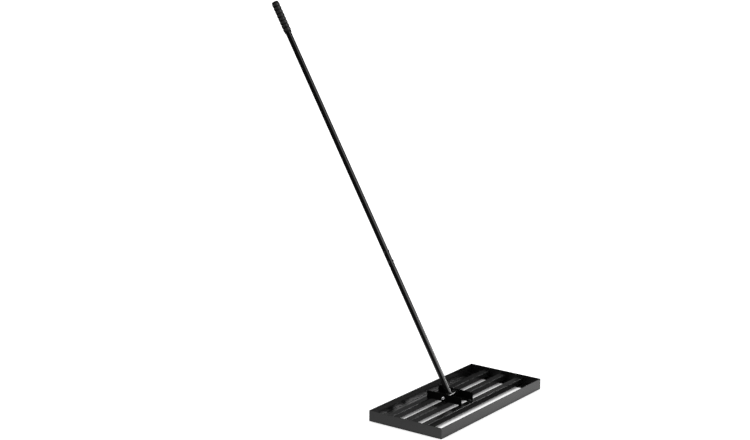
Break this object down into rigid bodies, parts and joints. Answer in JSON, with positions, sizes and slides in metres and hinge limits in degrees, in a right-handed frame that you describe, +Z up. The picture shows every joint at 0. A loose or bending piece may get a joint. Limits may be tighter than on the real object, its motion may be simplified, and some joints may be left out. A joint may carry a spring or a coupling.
{
  "type": "lawn leveling rake",
  "caption": "Open rectangular angle-steel head with cross slats for spreading and leveling soil or sand on a lawn, with a long tilting tube handle and a ribbed rubber grip.",
  "frame": {"origin": "on the ground, at the middle of the underside of the front rail's inward leg", "axes": "+X along the head and the pivot bolt, +Y from the front rail towards the user, +Z up"},
  "size_m": [0.762, 1.12, 1.643],
  "materials": {
    "satin_black_coat": "satin black powder coat",
    "matte_black_coat": "matte black powder coat",
    "tube_black_coat": "semi-gloss black coat",
    "black_screw": "black oxide",
    "zinc": "bright zinc plate",
    "black_nylon": "moulded nylon",
    "black_rubber": "moulded rubber"
  },
  "bodies": {
    "head": {"front_rail": "satin_black_coat", "rear_rail": "satin_black_coat", "left_end_rail": "satin_black_coat", "right_end_rail": "satin_black_coat", "front_slat": "satin_black_coat", "middle_slat": "satin_black_coat", "rear_slat": "satin_black_coat", "left_bracket": "matte_black_coat", "right_bracket": "matte_black_coat", "bracket_screws": "black_screw", "bracket_nuts": "zinc", "pivot_bolt": "zinc", "pivot_washer": "zinc", "pivot_nut": "zinc"},
    "handle": {"pivot_sleeve": "tube_black_coat", "left_bushing": "black_nylon", "right_bushing": "black_nylon", "lower_tube": "tube_black_coat", "upper_tube": "tube_black_coat", "joint_bolts": "black_screw", "joint_nuts": "black_screw", "grip": "black_rubber"}
  },
  "joints": [
    {"name": "handle_tilt", "type": "hinge", "parent": "head", "child": "handle", "pos_m": [-0.046, 0.165, 0.053], "axis": [-1, 0, 0], "range_deg": [-115, 55]}
  ]
}
